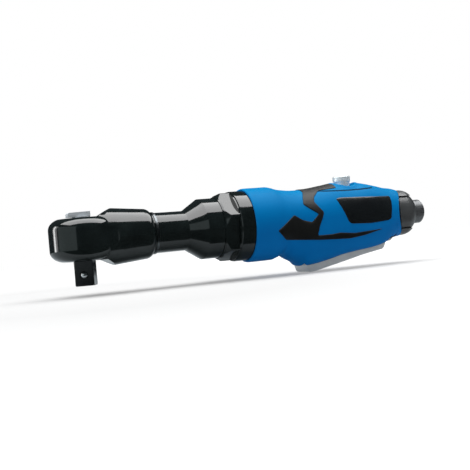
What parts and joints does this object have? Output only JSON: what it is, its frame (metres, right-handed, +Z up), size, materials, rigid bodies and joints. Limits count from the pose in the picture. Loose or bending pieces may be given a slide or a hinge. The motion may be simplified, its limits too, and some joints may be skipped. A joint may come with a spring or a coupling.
{
  "type": "air ratchet",
  "caption": "In-line pneumatic ratchet wrench: square drive under a rounded head, slim neck, clamp nut, moulded handle with throttle lever, regulator and threaded air inlet.",
  "frame": {"origin": "centre of the square drive at its shoulder, where it leaves the underside of the head", "axes": "+X along the tool from the head to the air inlet, +Z up away from the square drive, +Y to the left when looking along +X"},
  "size_m": [0.2873, 0.0528, 0.0684],
  "materials": {
    "black_coated_steel": "gloss",
    "dark_drive_steel": "satin",
    "bright_steel": "satin",
    "polished_steel": "polished",
    "gear_steel": "satin",
    "bronze": "satin",
    "aluminium": "satin",
    "vane_resin": "matte",
    "blue_plastic": "satin",
    "soft_grip": "matte",
    "side_panel": "satin",
    "lever_steel": "satin",
    "cap_plastic": "satin",
    "seal_rubber": "matte",
    "porous_felt": "porous"
  },
  "bodies": {
    "body": {"head_housing": "black_coated_steel", "head_cover": "dark_drive_steel", "cover_retaining_ring": "bright_steel", "upper_thrust_washer": "bright_steel", "lower_thrust_washer": "bright_steel", "front_needle_bearing": "bright_steel", "rear_needle_bearing": "bright_steel", "neck_ring": "polished_steel", "ring_gear": "gear_steel", "gear_washer": "bronze", "front_end_plate": "gear_steel", "front_bearing": "polished_steel", "motor_cylinder": "gear_steel", "rear_end_plate": "gear_steel", "rear_bearing": "polished_steel", "cylinder_dowel": "bright_steel", "motor_housing": "aluminium", "clamp_nut": "black_coated_steel", "handle_shell": "blue_plastic", "rubber_grips": "soft_grip", "label_panels": "side_panel", "lever_pin": "bright_steel", "valve_seat": "bronze", "stem_guide": "bronze", "valve_spring": "bright_steel", "regulator_clip": "bright_steel", "rear_cap": "cap_plastic", "muffler": "porous_felt", "inlet_bushing": "dark_drive_steel", "inlet_screen": "bright_steel", "inlet_oring": "seal_rubber"},
    "spindle": {"drive_spindle": "dark_drive_steel", "detent_spring": "bright_steel", "pawl_pin": "bright_steel"},
    "detent": {"detent_ball": "polished_steel"},
    "pawl": {"pawl": "gear_steel"},
    "selector": {"selector_knob": "lever_steel", "selector_plunger": "bright_steel", "selector_spring": "bright_steel"},
    "yoke": {"ratchet_yoke": "gear_steel"},
    "crank": {"crankshaft": "gear_steel", "planet_pins": "bright_steel"},
    "bushing": {"crank_bushing": "bronze"},
    "planet_1": {"planet_gear_1": "gear_steel"},
    "planet_2": {"planet_gear_2": "gear_steel"},
    "planet_3": {"planet_gear_3": "gear_steel"},
    "rotor": {"rotor": "gear_steel", "vanes": "vane_resin"},
    "lever": {"throttle_lever": "lever_steel"},
    "valve": {"valve_stem": "bronze"},
    "regulator": {"regulator_knob": "polished_steel", "regulator_oring": "seal_rubber"}
  },
  "joints": [
    {"name": "drive_spin", "type": "hinge", "parent": "body", "child": "spindle", "pos_m": [0, 0, 0], "axis": [0, 0, 1], "continuous": true},
    {"name": "selector_turn", "type": "hinge", "parent": "spindle", "child": "selector", "pos_m": [0, 0, 0], "axis": [0, 0, 1], "range_deg": [-40, 40]},
    {"name": "pawl_rock", "type": "hinge", "parent": "spindle", "child": "pawl", "pos_m": [-0.00694, 0.00309, 0.0146], "axis": [0, 0, 1], "range_deg": [-10, 10]},
    {"name": "detent_press", "type": "slide", "parent": "spindle", "child": "detent", "axis": [0.4067, 0.9135, 0], "range_m": [0, 0.0009], "stiffness_N_per_m": 500, "springref_m": -0.0008},
    {"name": "yoke_rock", "type": "hinge", "parent": "body", "child": "yoke", "pos_m": [0, 0, 0], "axis": [0, 0, 1], "range_deg": [-5, 5]},
    {"name": "crank_spin", "type": "hinge", "parent": "body", "child": "crank", "pos_m": [0.05, 0, 0.0146], "axis": [1, 0, 0], "continuous": true},
    {"name": "bushing_spin", "type": "hinge", "parent": "crank", "child": "bushing", "pos_m": [0.0215, 0, 0.01635], "axis": [1, 0, 0], "continuous": true},
    {"name": "planet_spin_1", "type": "hinge", "parent": "crank", "child": "planet_1", "pos_m": [0.088, 0, 0.02435], "axis": [1, 0, 0], "continuous": true},
    {"name": "planet_spin_2", "type": "hinge", "parent": "crank", "child": "planet_2", "pos_m": [0.088, -0.00844, 0.00972], "axis": [1, 0, 0], "continuous": true},
    {"name": "planet_spin_3", "type": "hinge", "parent": "crank", "child": "planet_3", "pos_m": [0.088, 0.00844, 0.00972], "axis": [1, 0, 0], "continuous": true},
    {"name": "rotor_spin", "type": "hinge", "parent": "body", "child": "rotor", "pos_m": [0.128, 0, 0.0146], "axis": [1, 0, 0], "continuous": true},
    {"name": "lever_squeeze", "type": "hinge", "parent": "body", "child": "lever", "pos_m": [0.23, 0, -0.0029], "axis": [0, 1, 0], "range_deg": [0, 6], "stiffness_Nm_per_rad": 1.2, "springref_deg": -8.59},
    {"name": "valve_lift", "type": "slide", "parent": "body", "child": "valve", "axis": [0, 0, 1], "range_m": [0, 0.0036], "deforming": ["valve_spring"]},
    {"name": "regulator_turn", "type": "hinge", "parent": "body", "child": "regulator", "pos_m": [0.199, 0, 0.0146], "axis": [0, 0, 1], "range_deg": [-90, 90]}
  ],
  "couplings": [
    {"joint": "pawl_rock", "follows": "selector_turn", "ratio": -0.25},
    {"joint": "rotor_spin", "follows": "crank_spin", "ratio": 5},
    {"joint": "planet_spin_1", "follows": "crank_spin", "ratio": -2.6667},
    {"joint": "planet_spin_2", "follows": "crank_spin", "ratio": -2.6667},
    {"joint": "planet_spin_3", "follows": "crank_spin", "ratio": -2.6667},
    {"joint": "valve_lift", "follows": "lever_squeeze", "m_per_rad": 0.0335}
  ]
}
